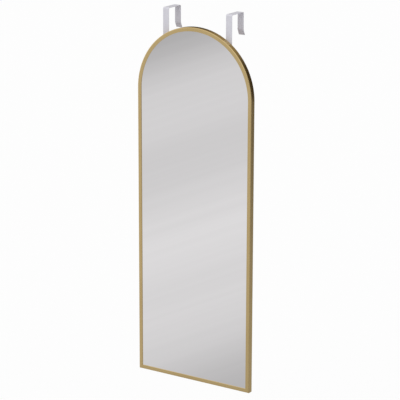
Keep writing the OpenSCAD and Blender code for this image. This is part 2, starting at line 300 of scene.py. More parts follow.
def bent_line(corners: Sequence[Corner], steps: int) -> list[tuple[Vector, Vector]]:
    """Rounds the corners of a line and gives the direction to its left at each point.

    Args:
        corners: The line's ends and corners in order.
        steps: How many flats make up each bend.

    Returns:
        Each point with the unit vector to its left.
    """
    spots = [corner.spot for corner in corners]
    turns = [(after - before).normalized() for before, after in pairwise(spots)]
    lefts = [Vector((-turn.y, turn.x)) for turn in turns]
    line = [(spots[0], lefts[0])]
    for i in range(1, len(spots) - 1):
        swing = turns[i - 1].angle_signed(turns[i])
        radius = corners[i].radius
        start = spots[i] - turns[i - 1] * radius * math.tan(abs(swing) / 2)
        hand = -1.0 if swing > 0 else 1.0  # angle_signed counts clockwise turns as positive
        centre = start + lefts[i - 1] * radius * hand
        for step in range(steps + 1):
            left = lefts[i - 1].copy()
            left.rotate(Matrix.Rotation(-swing * step / steps, 2))
            line.append((centre - left * radius * hand, left))
    line.append((spots[-1], lefts[-1]))
    return line


def rounded_end(radius: float, half_w: float, steps: int) -> list[Point2]:
    """Pairs distances in from a strip's rounded end with the strip's share of its full width there."""
    turns = quarter_turn(steps)
    return [(radius * (1 - cosine), 1 - radius * (1 - sine) / half_w) for cosine, sine in turns]


def strip_section(width: float, thickness: float, edge_r: float) -> list[Point2]:
    """Draws the section of a flat strip with rounded long edges.

    Args:
        width: The strip's width, which u runs across.
        thickness: Its thickness, which v runs through, away from the line that the strip follows.
        edge_r: The radius of its edges.

    Returns:
        The section's points.
    """
    half = width / 2
    corners = [(-half, 0), (half, 0), (half, thickness), (-half, thickness)]
    return rounded_section([Corner(u, v, edge_r) for u, v in corners], STRIP_EDGE_STEPS)


# ---------- finishes ----------


NOISE_SPAN = {"From Min": 0.3, "From Max": 0.7}  # the levels that hold nearly all of a noise


class Detail(float, Enum):
    """How many finer layers a noise holds on top of its own."""

    NONE = 0.0
    LOW = 1.0
    MIDDLE = 2.0
    HIGH = 3.0
    HIGHEST = 4.0


def scale_for(size_mm: float) -> float:
    """Gives the scale at which a pattern's patches are this wide."""
    return 1 / (size_mm * MM)


@dataclass(frozen=True)
class Finish(ABC):
    """A surface finish."""

    name: str

    @abstractmethod
    def lay(self, tree: NodeTree) -> Node:
        """Lays the finish in a material's node tree and returns the shader."""

    def material(self) -> Material:
        """Makes the finish's material.

        Returns:
            The material.
        """
        made = bpy.data.materials.new(self.name)
        made.use_nodes = True
        tree = made.node_tree
        tree.nodes.remove(tree.nodes["Principled BSDF"])
        tree.links.new(self.lay(tree).outputs[0], tree.nodes["Material Output"].inputs["Surface"])
        return made


@dataclass(frozen=True)
class TwoToneFinish(Finish):
    """A finish whose colour wanders between two close tones."""

    tone: str
    second_tone: str

    def colour(self, tree: NodeTree, share: Node) -> Node:
        """Mixes the two tones by the share that a pattern gives, and returns the mix."""
        tones = {"A": linear(self.tone), "B": linear(self.second_tone)}
        return add(tree, "Mix", {"Factor": share, **tones}, data_type="RGBA")


@dataclass(frozen=True)
class DrawnMetal(TwoToneFinish):
    """A metal that was extruded or rolled, with fine lines along its length and a tone that drifts."""

    smoothest: float
    roughest: float
    line_mm: float
    line_l_mm: float
    line_depth_mm: float
    cloud_mm: float

    def lay(self, tree: NodeTree) -> Node:
        """Lays the lines along the piece, and a slow drift of tone.

        Args:
            tree: The material's node tree.

        Returns:
            The shader.
        """
        along = add(tree, "UVMap", uv_map=DRAW_MAP)
        squeeze = (self.line_mm / self.line_l_mm, 1.0, 1.0)
        drawn = add(tree, "Mapping", {"Vector": along, "Scale": squeeze})
        pitch, wide = scale_for(self.line_mm), scale_for(self.cloud_mm)
        lines = add(tree, "TexNoise", {"Vector": drawn, "Scale": pitch, "Detail": Detail.HIGH})
        rough_span = {"To Min": self.smoothest, "To Max": self.roughest}
        rough = add(tree, "MapRange", {"Value": lines, **NOISE_SPAN, **rough_span})
        relief = add(tree, "Bump", {"Height": lines, "Distance": self.line_depth_mm * MM})
        clouds = add(tree, "TexNoise", {"Vector": along, "Scale": wide, "Detail": Detail.LOW})
        tone = self.colour(tree, add(tree, "MapRange", {"Value": clouds, **NOISE_SPAN}))
        links = {"Base Color": tone, "Metallic": 1.0, "Roughness": rough, "Normal": relief}
        return add(tree, "BsdfPrincipled", links)


@dataclass(frozen=True)
class GrainedSurface(TwoToneFinish):
    """A surface with an even grain, as casting, plating, grinding or powder coating leaves it."""

    roughness: float
    grain_mm: float
    grain_depth_mm: float
    metallic: float = 1.0
    unevenness: float = 0.2  # how far the roughness strays, as a share of itself
    patch_grains: float = 8.0  # how many grains wide a patch of tone is

    def lay(self, tree: NodeTree) -> Node:
        """Lays the grain and a slight change of tone.

        Args:
            tree: The material's node tree.

        Returns:
            The shader.
        """
        place = add(tree, "TexCoord").outputs["Object"]
        fine, wide = scale_for(self.grain_mm), scale_for(self.patch_grains * self.grain_mm)
        grain = add(tree, "TexNoise", {"Vector": place, "Scale": fine, "Detail": Detail.HIGH})
        strays = self.roughness * self.unevenness
        rough_span = {"To Min": self.roughness - strays, "To Max": self.roughness + strays}
        rough = add(tree, "MapRange", {"Value": grain, **NOISE_SPAN, **rough_span})
        relief = add(tree, "Bump", {"Height": grain, "Distance": self.grain_depth_mm * MM})
        patches = add(tree, "TexNoise", {"Vector": place, "Scale": wide, "Detail": Detail.HIGH})
        tone = self.colour(tree, add(tree, "MapRange", {"Value": patches, **NOISE_SPAN}))
        links = {"Base Color": tone, "Metallic": self.metallic, "Roughness": rough, "Normal": relief}
        return add(tree, "BsdfPrincipled", links)


@dataclass(frozen=True)
class SoftPolymer(TwoToneFinish):
    """A moulded or foamed polymer: a dull body with an even skin or an even field of cells."""

    roughness: float
    cell_mm: float
    cell_depth_mm: float

    def lay(self, tree: NodeTree) -> Node:
        """Lays round cells and a slight change of tone between them.

        Args:
            tree: The material's node tree.

        Returns:
            The shader.
        """
        place = add(tree, "TexCoord").outputs["Object"]
        cells = add(tree, "TexVoronoi", {"Vector": place, "Scale": scale_for(self.cell_mm)})
        relief = add(tree, "Bump", {"Height": cells, "Distance": self.cell_depth_mm * MM})
        links = {"Base Color": self.colour(tree, cells), "Roughness": self.roughness, "Normal": relief}
        return add(tree, "BsdfPrincipled", links)


@dataclass(frozen=True)
class SilveredFloatGlass(Finish):
    """Polished float glass with silver behind it.

    To the eye it is a clear mirror of a nearly neutral grey. Float glass is flat to a few hundredths of
    a millimetre over the length of a hand, which only shows as a very slow sway of the reflection.
    """

    name: str = "silvered_float_glass"
    silver: str = "#f2f0f1"
    glass_ior: float = 1.52
    haze: float = 0.012
    film_mm: float = 45.0
    sway_mm: float = 260.0
    sway_depth_mm: float = 0.01

    def lay(self, tree: NodeTree) -> Node:
        """Lays silver under a clear coat of glass, with a trace of haze and a slow sway.

        Args:
            tree: The material's node tree.

        Returns:
            The shader.
        """
        place = add(tree, "TexCoord").outputs["Object"]
        fine, wide = scale_for(self.film_mm), scale_for(self.sway_mm)
        film = add(tree, "TexNoise", {"Vector": place, "Scale": fine, "Detail": Detail.HIGHEST})
        rough = add(tree, "MapRange", {"Value": film, **NOISE_SPAN, "To Max": self.haze})
        sway = add(tree, "TexNoise", {"Vector": place, "Scale": wide, "Detail": Detail.NONE})
        relief = add(tree, "Bump", {"Height": sway, "Distance": self.sway_depth_mm * MM})
        tone = linear(self.silver)
        silver = {"Base Color": tone, "Metallic": 1.0, "Roughness": rough, "Normal": relief}
        glass = {"Coat Weight": 1.0, "Coat Roughness": 0.0, "Coat IOR": self.glass_ior}
        return add(tree, "BsdfPrincipled", {**silver, **glass})


@dataclass(frozen=True)
class RawFibreboard(Finish):
    """Medium density fibreboard with its sanded face left bare.

    To the eye it is a dull, even brown that turns out to be full of short pale and dark fibres.
    """

    name: str = "raw_fibreboard"
    tone: str = "#967451"
    dark_fibre: str = "#7c5f42"
    pale_fibre: str = "#ab8862"
    fibre_levels: tuple[float, float, float] = (0.38, 0.5, 0.64)  # of the dark, plain and pale tones
    roughness: float = 0.82
    fibre_mm: float = 0.9  # real fibres are 0.1 mm thick and up to 4 mm long; thicker here, to show
    fibre_l_mm: float = 5.0
    fibre_depth_mm: float = 0.06
    tangle_mm: float = 9.0
    cloud_mm: float = 55.0
    darkest_cloud: float = 0.93
    palest_cloud: float = 1.06

    def lay(self, tree: NodeTree) -> Node:
        """Lays dark and pale fibres, some flat and some upright, over slow clouds of tone.

        Args:
            tree: The material's node tree.

        Returns:
            The shader.
        """
        place = add(tree, "TexCoord").outputs["Object"]
        tangle_size, cloud_size = scale_for(self.tangle_mm), scale_for(self.cloud_mm)
        tangle = add(tree, "TexNoise", {"Vector": place, "Scale": tangle_size, "Detail": Detail.LOW})
        reach = {"Scale": self.fibre_l_mm * MM}
        bend = add(tree, "VectorMath", {0: tangle.outputs["Color"], **reach}, operation="SCALE")
        bent = add(tree, "VectorMath", {0: place, 1: bend})
        thin = self.fibre_mm / self.fibre_l_mm
        fine = {"Scale": scale_for(self.fibre_mm), "Detail": Detail.MIDDLE}
        ways = []
        for squeeze in ((thin, 1.0, 1.0), (1.0, 1.0, thin)):
            drawn = add(tree, "Mapping", {"Vector": bent, "Scale": squeeze})
            ways.append(add(tree, "TexNoise", {"Vector": drawn, **fine}))
        lying, upright = ways
        fibres = add(tree, "Mix", {"A": lying, "B": upright})  # half of each
        relief = add(tree, "Bump", {"Height": fibres, "Distance": self.fibre_depth_mm * MM})
        ramp = add(tree, "ValToRGB", {"Fac": fibres})
        stops = ramp.color_ramp.elements
        stops.new(self.fibre_levels[1])
        fibre_tones = (self.dark_fibre, self.tone, self.pale_fibre)
        for stop, level, fibre_tone in zip(stops, self.fibre_levels, fibre_tones):
            stop.position = level
            stop.color = linear(fibre_tone)
        clouds = add(tree, "TexNoise", {"Vector": place, "Scale": cloud_size, "Detail": Detail.MIDDLE})
        shade_span = {"To Min": self.darkest_cloud, "To Max": self.palest_cloud}
        shade = add(tree, "MapRange", {"Value": clouds, **NOISE_SPAN, **shade_span})
        tone = add(tree, "HueSaturation", {"Color": ramp, "Value": shade})
        links = {"Base Color": tone, "Roughness": self.roughness, "Normal": relief}
        return add(tree, "BsdfPrincipled", links)


@dataclass(frozen=True)
class PaleFloor(Finish):
    """Matt paint, which the camera sees lifted to white from above, and sees through from below."""

    name: str = "matt_pale_paint"
    tone: str = "#e6e6e6"
    lift: float = 0.17

    def lay(self, tree: NodeTree) -> Node:
        """Lays the paint on the upper side only.

        Args:
            tree: The material's node tree.

        Returns:
            The shader.
        """
        matt = add(tree, "BsdfDiffuse", {"Color": linear(self.tone)})
        glow = add(tree, "Emission", {"Color": WHITE, "Strength": self.lift})
        lifted = add(tree, "AddShader", {0: matt, 1: glow})
        seen = add(tree, "LightPath").outputs["Is Camera Ray"]
        above = add(tree, "MixShader", {0: seen, 1: matt, 2: lifted})
        under = add(tree, "NewGeometry").outputs["Backfacing"]
        return add(tree, "MixShader", {0: under, 1: above, 2: add(tree, "BsdfTransparent")})


# Extruded aluminium, etched, dyed gold and anodised: a soft, warm metal with no clear reflection, faint
# die lines along its length, and a tone that drifts a little from one stretch to the next. Real die lines
# lie 0.1 to 0.3 mm apart; they are coarser here, so that they show.
SATIN_GOLD_ANODISING = DrawnMetal(
    name="satin_gold_anodised_aluminium",
    tone="#d4bb87",
    second_tone="#ceb47f",
    smoothest=0.2,
    roughest=0.28,
    line_mm=0.9,
    line_l_mm=90.0,
    line_depth_mm=0.012,
    cloud_mm=120.0,
)
# Steel flat bar, zinc plated and passivated: a pale bluish metal with faint straw coloured clouds, and
# rolling marks along the bar that are ten times as wide as real ones, so that they show.
BRIGHT_ZINC_PLATE = DrawnMetal(
    name="bright_zinc_plated_steel",
    tone="#bfc4ca",
    second_tone="#c9c5b3",
    smoothest=0.23,
    roughest=0.39,
    line_mm=0.8,
    line_l_mm=20.0,
    line_depth_mm=0.01,
    cloud_mm=26.0,
)
# White polyester powder, baked on to steel strip: a clean white with a cool cast, a soft sheen and the
# shallow dimples called orange peel.
WHITE_POWDER_COAT = GrainedSurface(
    name="white_powder_coated_steel",
    tone="#d4d3db",
    second_tone="#cfced6",
    roughness=0.42,
    grain_mm=1.6,
    grain_depth_mm=0.02,
    metallic=0.0,
    unevenness=0.12,
)
# Zinc casting: matt grey with the pebble of the die, at four times its real size, so that it shows.
DIE_CAST_ZINC = GrainedSurface(
    name="die_cast_zinc",
    tone="#a6a8ad",
    second_tone="#9a9ca2",
    roughness=0.48,
    grain_mm=0.9,
    grain_depth_mm=0.03,
)
# Blued spring steel: dark, oily blue grey with a tight sheen and the faint mottling of its quench.
BLUED_SPRING_STEEL = GrainedSurface(
    name="blued_spring_steel",
    tone="#565d6b",
    second_tone="#6a6a70",
    roughness=0.3,
    grain_mm=0.7,
    grain_depth_mm=0.01,
)
# Barrel plated nickel: bright and slightly warm, with tiny knocks, twice as wide here as real ones.
BARREL_NICKEL = GrainedSurface(
    name="barrel_plated_nickel",
    tone="#cdc8be",
    second_tone="#bdb8ae",
    roughness=0.2,
    grain_mm=0.6,
    grain_depth_mm=0.008,
)
# The cut edge of the glass, ground with a fine belt: a dull sea green, with marks twice its grit's size.
GROUND_GLASS_EDGE = GrainedSurface(
    name="ground_glass_edge",
    tone="#8fb3a4",
    second_tone="#86aa9b",
    roughness=0.47,
    grain_mm=0.25,
    grain_depth_mm=0.02,
    metallic=0.0,
)
# The grey paint that guards the silver: poured on as a curtain, so smooth, with slow waves.
MIRROR_BACK_PAINT = GrainedSurface(
    name="mirror_back_paint",
    tone="#8b9196",
    second_tone="#7f858a",
    roughness=0.4,
    grain_mm=18.0,
    grain_depth_mm=0.03,
    metallic=0.0,
)
# Closed cell foam: soft white, with cells three times as wide as real ones, which show as a dull tooth.
CLOSED_CELL_FOAM = SoftPolymer(
    name="closed_cell_foam",
    tone="#f1f1ec",
    second_tone="#dcdcd4",
    roughness=0.9,
    cell_mm=0.9,
    cell_depth_mm=0.1,
)
# Moulded rubber: near black, dull, with the tooth of a spark-eroded mould, five times as coarse here.
MOULDED_RUBBER = SoftPolymer(
    name="moulded_black_rubber",
    tone="#242426",
    second_tone="#1b1b1d",
    roughness=0.62,
    cell_mm=0.5,
    cell_depth_mm=0.04,
)


def dress(piece: Object, *finishes: Finish) -> None:
    """Gives a piece its finishes: one for each zone of its faces, or one for all of it.

    Args:
        piece: The piece.
        *finishes: The finishes, in the order of the zones where there are several.
    """
    piece.data.materials.clear()
    for finish in finishes:
        piece.data.materials.append(finish.material())
    if len(finishes) == 1:
        piece.data.polygons.foreach_set("material_index", [0] * len(piece.data.polygons))


# ---------- pieces ----------


class Side(Enum):
    """The two sides, as seen from the front, by the words in the names of pieces and bodies."""

    LEFT = "left"
    RIGHT = "right"

    @property
    def sign(self) -> int:
        """Gives the sign of X on this side."""
        return 1 if self is Side.RIGHT else -1


def stand_in(piece: Object, body: str, slot: str, *finishes: Finish) -> None:
    """Dresses a built piece and puts it in the place of the CAD node of its name.

    Args:
        piece: The piece, named after the node.
        body: The body that it moves with.
        slot: The record's material slot. Not used.
        *finishes: What dress() gives it.
    """
    dress(piece, *finishes)
    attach(piece, body)
    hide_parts(piece.name.removesuffix(PIECE_ENDING))


class SubAssembly(ABC):
    """A group of pieces that belong together."""

    @abstractmethod
    def build(self) -> list[Object]:
        """Builds the pieces, dresses them and returns them."""


@dataclass
class Panel(SubAssembly):
    """The mirror panel: the gold channel all round, and the sheets that it holds."""

    face_w: float = 10 * MM
    back_lip_w: float = 7 * MM
    lip_t: float = 1.5 * MM
    wall_t: float = 1.4 * MM
    front_edge_r: float = 1.8 * MM
    back_edge_r: float = 0.4 * MM
    arris_r: float = 0.25 * MM  # what drawing leaves on a sharp corner
    inside_r: float = 0.4 * MM
    glass_arris: float = 0.4 * MM
    board_arris: float = 0.3 * MM
    foam_arris: float = 0.1 * MM
    arch_steps: int = 144
    edge_steps: int = 5

    def __post_init__(self) -> None:
        """Reads the panel's overall size from the frame."""
        low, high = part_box("frame_arch")
        self.half_w = high.x
        self.front_y = low.y
        self.back_y = high.y
        self.foot_z = low.z
        self.spring_z = high.z - high.x

    def channel(self) -> list[Point2]:
        """Draws the channel's section.

        Returns:
            Its points: u runs in from the outer face and v back from the front face.
        """
        depth = self.back_y - self.front_y
        back_lip = depth - self.lip_t
        corners = [
            Corner(0, 0, self.front_edge_r),
            Corner(self.face_w, 0, self.arris_r),
            Corner(self.face_w, self.lip_t, self.arris_r),
            Corner(self.wall_t, self.lip_t, self.inside_r),
            Corner(self.wall_t, back_lip, self.inside_r),
            Corner(self.back_lip_w, back_lip, self.arris_r),
            Corner(self.back_lip_w, depth, self.arris_r),
            Corner(0, depth, self.back_edge_r),
        ]
        return rounded_section(corners, self.edge_steps)

    def mitre(self, side: Side) -> Station:
        """Makes the station at a lower corner, where the section runs in at half a right angle."""
        corner = Vector((side.sign * self.half_w, self.front_y, self.foot_z))
        return Station(corner, Vector((-side.sign, 0, 1)), Vector((0, 1, 0)))

    def arch_way(self) -> list[Station]:
        """Walks the outline from the left foot, over the crown, to the right foot.

        Returns:
            The stations.
        """
        centre = Vector((0, self.front_y, self.spring_z))
        turns = [math.pi * (1 - step / self.arch_steps) for step in range(self.arch_steps + 1)]
        arch = [rim_station(centre, self.half_w, turn) for turn in turns]
        return [self.mitre(Side.LEFT), *arch, self.mitre(Side.RIGHT)]

    def rail_way(self) -> list[Station]:
        """Walks the foot of the outline from mitre to mitre."""
        return [self.mitre(Side.RIGHT), self.mitre(Side.LEFT)]

    def sheet(self, node: str, arris: float) -> Object:
        """Builds one of the arched sheets between the lips, at the place of its CAD node.

        Args:
            node: The node's name.
            arris: How much is taken off its edges.

        Returns:
            The sheet.
        """
        low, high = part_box(node)
        margin = self.half_w - high.x
        inner = margin + arris
        near, far = low.y - self.front_y, high.y - self.front_y
        edge = [(inner, near), (margin, near + arris), (margin, far - arris), (inner, far)]
        return sweep(node + PIECE_ENDING, edge, self.arch_way(), ring=True)

    def build(self) -> list[Object]:
        """Builds the channel and the sheets, and dresses them.

        Returns:
            The pieces.
        """
        arch = sweep("frame_arch" + PIECE_ENDING, self.channel(), self.arch_way(), ring=False)
        rail = sweep("frame_bottom_rail" + PIECE_ENDING, self.channel(), self.rail_way(), ring=False)
        for channel in (arch, rail):
            stand_in(channel, "panel", "gold_aluminium", SATIN_GOLD_ANODISING)
        glass = self.sheet("mirror_glass", self.glass_arris)
        faces = (SilveredFloatGlass(), GROUND_GLASS_EDGE, MIRROR_BACK_PAINT)
        stand_in(glass, "panel", "silvered_glass", *faces)
        board = self.sheet("back_board", self.board_arris)
        stand_in(board, "panel", "fibreboard", RawFibreboard())
        foam = self.sheet("foam_sheet", self.foam_arris)
        stand_in(foam, "panel", "foam", CLOSED_CELL_FOAM)
        return [arch, rail, glass, board, foam]


@dataclass
class CrossBar(SubAssembly):
    """The joggled flat bar that carries the hooks."""

    end_flat: float = 13 * MM  # how much of each end lies flat under the back lip
    step_run: float = 8 * MM  # how far along the bar each joggle takes
    thickness: float = 2 * MM
    bend_r: float = 3 * MM
    corner_r: float = 3 * MM
    edge_r: float = 0.4 * MM
    bend_steps: int = 6
    corner_steps: int = 8

    def __post_init__(self) -> None:
        """Reads the bar's size and place from the frame."""
        low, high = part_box("cross_bar")
        self.end_x = high.x
        self.end_y = high.y
        self.mid_y = low.y + self.thickness
        self.mid_z = (low.z + high.z) / 2
        self.width = high.z - low.z

    def line(self) -> list[Corner]:
        """Draws the bar's back face.

        Returns:
            Its corners in X and Y, from its right end to its left.
        """
        flat_x = self.end_x - self.end_flat
        step_x = flat_x - self.step_run
        right = [
            Corner(self.end_x, self.end_y),
            Corner(flat_x, self.end_y, self.bend_r),
            Corner(step_x, self.mid_y, self.bend_r),
        ]
        return right + [Corner(-x, y, bend_r) for x, y, bend_r in reversed(right)]

    def way(self) -> list[Station]:
        """Lays the bar's stations along its line, drawn in at both ends to round its corners.

        Returns:
            The stations.
        """
        (first, first_left), *middle, (last, last_left) = bent_line(self.line(), self.bend_steps)
        end = rounded_end(self.corner_r, self.width / 2, self.corner_steps)
        spots = [(first - Vector((inwards, 0)), first_left, share) for inwards, share in end]
        spots += [(spot, left, 1.0) for spot, left in middle]
        spots += [(last + Vector((inwards, 0)), last_left, share) for inwards, share in reversed(end)]
        return [
            Station(Vector((*spot, self.mid_z)), Vector((0, 0, share)), Vector((*left, 0)))
            for spot, left, share in spots
        ]

    def build(self) -> list[Object]:
        """Builds the bar and plates it.

        Returns:
            The bar.
        """
        section = strip_section(self.width, self.thickness, self.edge_r)
        bar = sweep("cross_bar" + PIECE_ENDING, section, self.way(), ring=False)
        stand_in(bar, "panel", "zinc_plated_steel", BRIGHT_ZINC_PLATE)
        return [bar]


@dataclass
class Hook(SubAssembly):
    """A strap of flat steel that hangs over the door's top, with its slotted tail clamped on the bar."""

    side: Side
    panel: Panel
    bar: CrossBar
    door_gap: float = 52 * MM  # between its two legs, for the door leaf
    bend_r: float = 2.5 * MM
    leg_l: float = 40 * MM  # how far the rear leg runs straight down
    flare_deg: float = 25.0  # how far the rear leg's tip then turns away from the door
    flare_r: float = 17.5 * MM
    tip_l: float = 11 * MM
    step_clear: float = 8 * MM  # from its step up to the back lip, with the hook at its highest
    step_h: float = 8 * MM
    step_r: float = 3 * MM
    edge_r: float = 0.45 * MM
    tail_r: float = 3 * MM
    screw_pitch: float = 18 * MM  # between its two screws, which lie above and below the bar's middle
    slot_r: float = 2.25 * MM
    rim: float = 0.3 * MM  # of the bevel round the slot
    cutter_proud: float = 1 * MM  # how far the slot's cutter stands out of the strap on both faces
    bend_steps: int = 10
    tail_steps: int = 8
    slot_steps: int = 16

    def __post_init__(self) -> None:
        """Reads the strap's size, place and travel from the frame, and works out its step and slot."""
        self.node = "hook_" + self.side.value
        self.body = self.side.value + "_hook"
        low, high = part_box(self.node)
        self.x = (low.x + high.x) / 2
        self.width = high.x - low.x
        self.thickness = high.z
        self.tail_y = low.y + self.thickness
        self.tail_z = low.z
        travel = next(max(joint["range_m"]) for joint in frame["joints"] if joint["child"] == self.body)
        lip_r = self.panel.half_w - self.panel.back_lip_w
        edge_x = abs(self.x) + self.width / 2
        lip_rise = math.sqrt(lip_r**2 - edge_x**2)  # from the bar's middle, where the arch begins, to the lip
        self.step_z = self.bar.mid_z + lip_rise - travel - self.step_clear
        self.slot_top_z = self.bar.mid_z + self.screw_pitch / 2
        self.slot_foot_z = self.bar.mid_z - self.screw_pitch / 2 - travel

    def line(self) -> list[Corner]:
        """Draws the strap's face on the door's side.

        Returns:
            Its corners in Y and Z, from the tail over the door to the tip.
        """
        flare = math.radians(self.flare_deg)
        turn_l = self.flare_r * math.tan(flare / 2)
        turn_z = -self.leg_l - turn_l
        reach = turn_l + self.tip_l
        return [
            Corner(self.tail_y, self.tail_z),
            Corner(self.tail_y, self.step_z - self.step_h, self.step_r),
            Corner(0.0, self.step_z, self.step_r),
            Corner(0.0, 0.0, self.bend_r),
            Corner(self.door_gap, 0.0, self.bend_r),
            Corner(self.door_gap, turn_z, self.flare_r),
            Corner(self.door_gap + reach * math.sin(flare), turn_z - reach * math.cos(flare)),
        ]

    def way(self) -> list[Station]:
        """Lays the strap's stations along its line, drawn in at the tail to round its corners.

        Returns:
            The stations.
        """
        (tail, left), *rest = bent_line(self.line(), self.bend_steps)
        end = rounded_end(self.tail_r, self.width / 2, self.tail_steps)
        stations = [self.station(tail + Vector((0, inwards)), left, share) for inwards, share in end]
        return stations + [self.station(spot, spot_left, 1.0) for spot, spot_left in rest]

    def station(self, spot: Vector, left: Vector, share: float) -> Station:
        """Makes a station from a place and a left side in Y and Z, and a share of the full width."""
        return Station(Vector((self.x, *spot)), Vector((share, 0, 0)), Vector((0, *left)))

    def slot_cutter(self) -> Object:
        """Builds the body that is cut out of the tail, with a bevelled rim on both faces.

        Returns:
            The cutter.
        """
        way = []
        for start, z in ((0.0, self.slot_top_z), (math.pi, self.slot_foot_z)):
            centre = Vector((self.x, self.tail_y - self.thickness, z))
            for step in range(self.slot_steps + 1):
                way.append(rim_station(centre, self.slot_r, start + math.pi * step / self.slot_steps))
        rim, deep, proud = self.rim, self.thickness, self.cutter_proud
        edge = [(-rim, -proud), (-rim, 0), (0, rim), (0, deep - rim), (-rim, deep), (-rim, deep + proud)]
        return sweep("slot_cutter", edge, way, ring=True)

    def build(self) -> list[Object]:
        """Builds the strap, cuts its slot and coats it.

        Returns:
            The strap.
        """
        section = strip_section(self.width, self.thickness, self.edge_r)
        strap = sweep(self.node + PIECE_ENDING, section, self.way(), ring=False)
        cut_away(strap, self.slot_cutter())
        stand_in(strap, self.body, "white_paint", WHITE_POWDER_COAT)
        return [strap]


@dataclass
class Bumper(SubAssembly):
    """A round rubber pad at the foot of the panel."""

    side: Side
    tip_r: float = 4.3 * MM  # on the door
    rim_r: float = 0.5 * MM
    rim_steps: int = 5
    steps: int = 48

    def build(self) -> list[Object]:
        """Builds the pad as a turned body with a rounded rim.

        Returns:
            The pad.
        """
        node = "door_bumper_" + self.side.value
        low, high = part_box(node)
        centre = Vector(((low.x + high.x) / 2, low.y, (low.z + high.z) / 2))
        base_r = (high.x - low.x) / 2
        deep = high.y - low.y
        way = [rim_station(centre, base_r, math.tau * step / self.steps) for step in range(self.steps)]
        taper = base_r - self.tip_r
        edge = [(0.0, 0.0)]
        for cosine, sine in quarter_turn(self.rim_steps):
            edge.append((taper + self.rim_r * (1 - cosine), deep - self.rim_r * (1 - sine)))
        pad = sweep(node + PIECE_ENDING, edge, way, ring=True)
        stand_in(pad, "panel", "rubber", MOULDED_RUBBER)
        return [pad]


class Fastenings(SubAssembly):
    """The small pieces whose CAD meshes are right as they are."""

    def build(self) -> list[Object]:
        """Dresses the keys, clips, screws and washers.

        Returns:
            The pieces.
        """
        wear: dict[Finish, list[str]] = {
            DIE_CAST_ZINC: ["corner_key_left", "corner_key_right"],
            BLUED_SPRING_STEEL: ["spring_clips"],
            BARREL_NICKEL: ["corner_screws", "cross_bar_screws"],
        }
        for side in Side:
            wear[BARREL_NICKEL] += ["hook_screws_" + side.value, "hook_washers_" + side.value]
        pieces = []
        for finish, names in wear.items():
            for piece in (frame["nodes"][name] for name in names):
                for slot in piece.material_slots:
                    slot.material = finish.material()
                pieces.append(piece)
        return pieces


# ---------- studio ----------


RIGHT_ANGLE_DEG = 90.0


def direction(azimuth_deg: float, height_deg: float) -> Vector:
    """Works out a direction.

    Args:
        azimuth_deg: How far it turns from straight back towards the right.
        height_deg: How far it rises above the horizon.

    Returns:
        The unit vector.
    """
    turn, rise = math.radians(azimuth_deg), math.radians(height_deg)
    level = math.cos(rise)
    return Vector((math.sin(turn) * level, math.cos(turn) * level, math.sin(rise)))


@dataclass(frozen=True)
class Card:
    """A round patch of the surround with a soft edge. Angles are in degrees."""

    azimuth: float  # of its middle, as direction() takes it
    height: float
    core: float  # how far from the middle it is at full strength
    edge: float  # how far from the middle it ends
    tone: str

    def cover(self, tree: NodeTree, ray: NodeSocket, room: Node) -> Node:
        """Lays the card over what is behind it.

        Args:
            tree: The world's node tree.
            ray: The output with the direction that a ray goes in.
            room: The node with the colour behind the card.

        Returns:
            The node with both.
        """
        middle = direction(self.azimuth, self.height)
        nearness = add(tree, "VectorMath", {0: ray, 1: middle}, operation="DOT_PRODUCT")
        span = {"From Min": math.cos(math.radians(self.edge)), "From Max": math.cos(math.radians(self.core))}
        share = add(tree, "MapRange", {"Value": nearness, **span}, interpolation_type="SMOOTHSTEP")
        return add(tree, "Mix", {"Factor": share, "A": room, "B": linear(self.tone)}, data_type="RGBA")


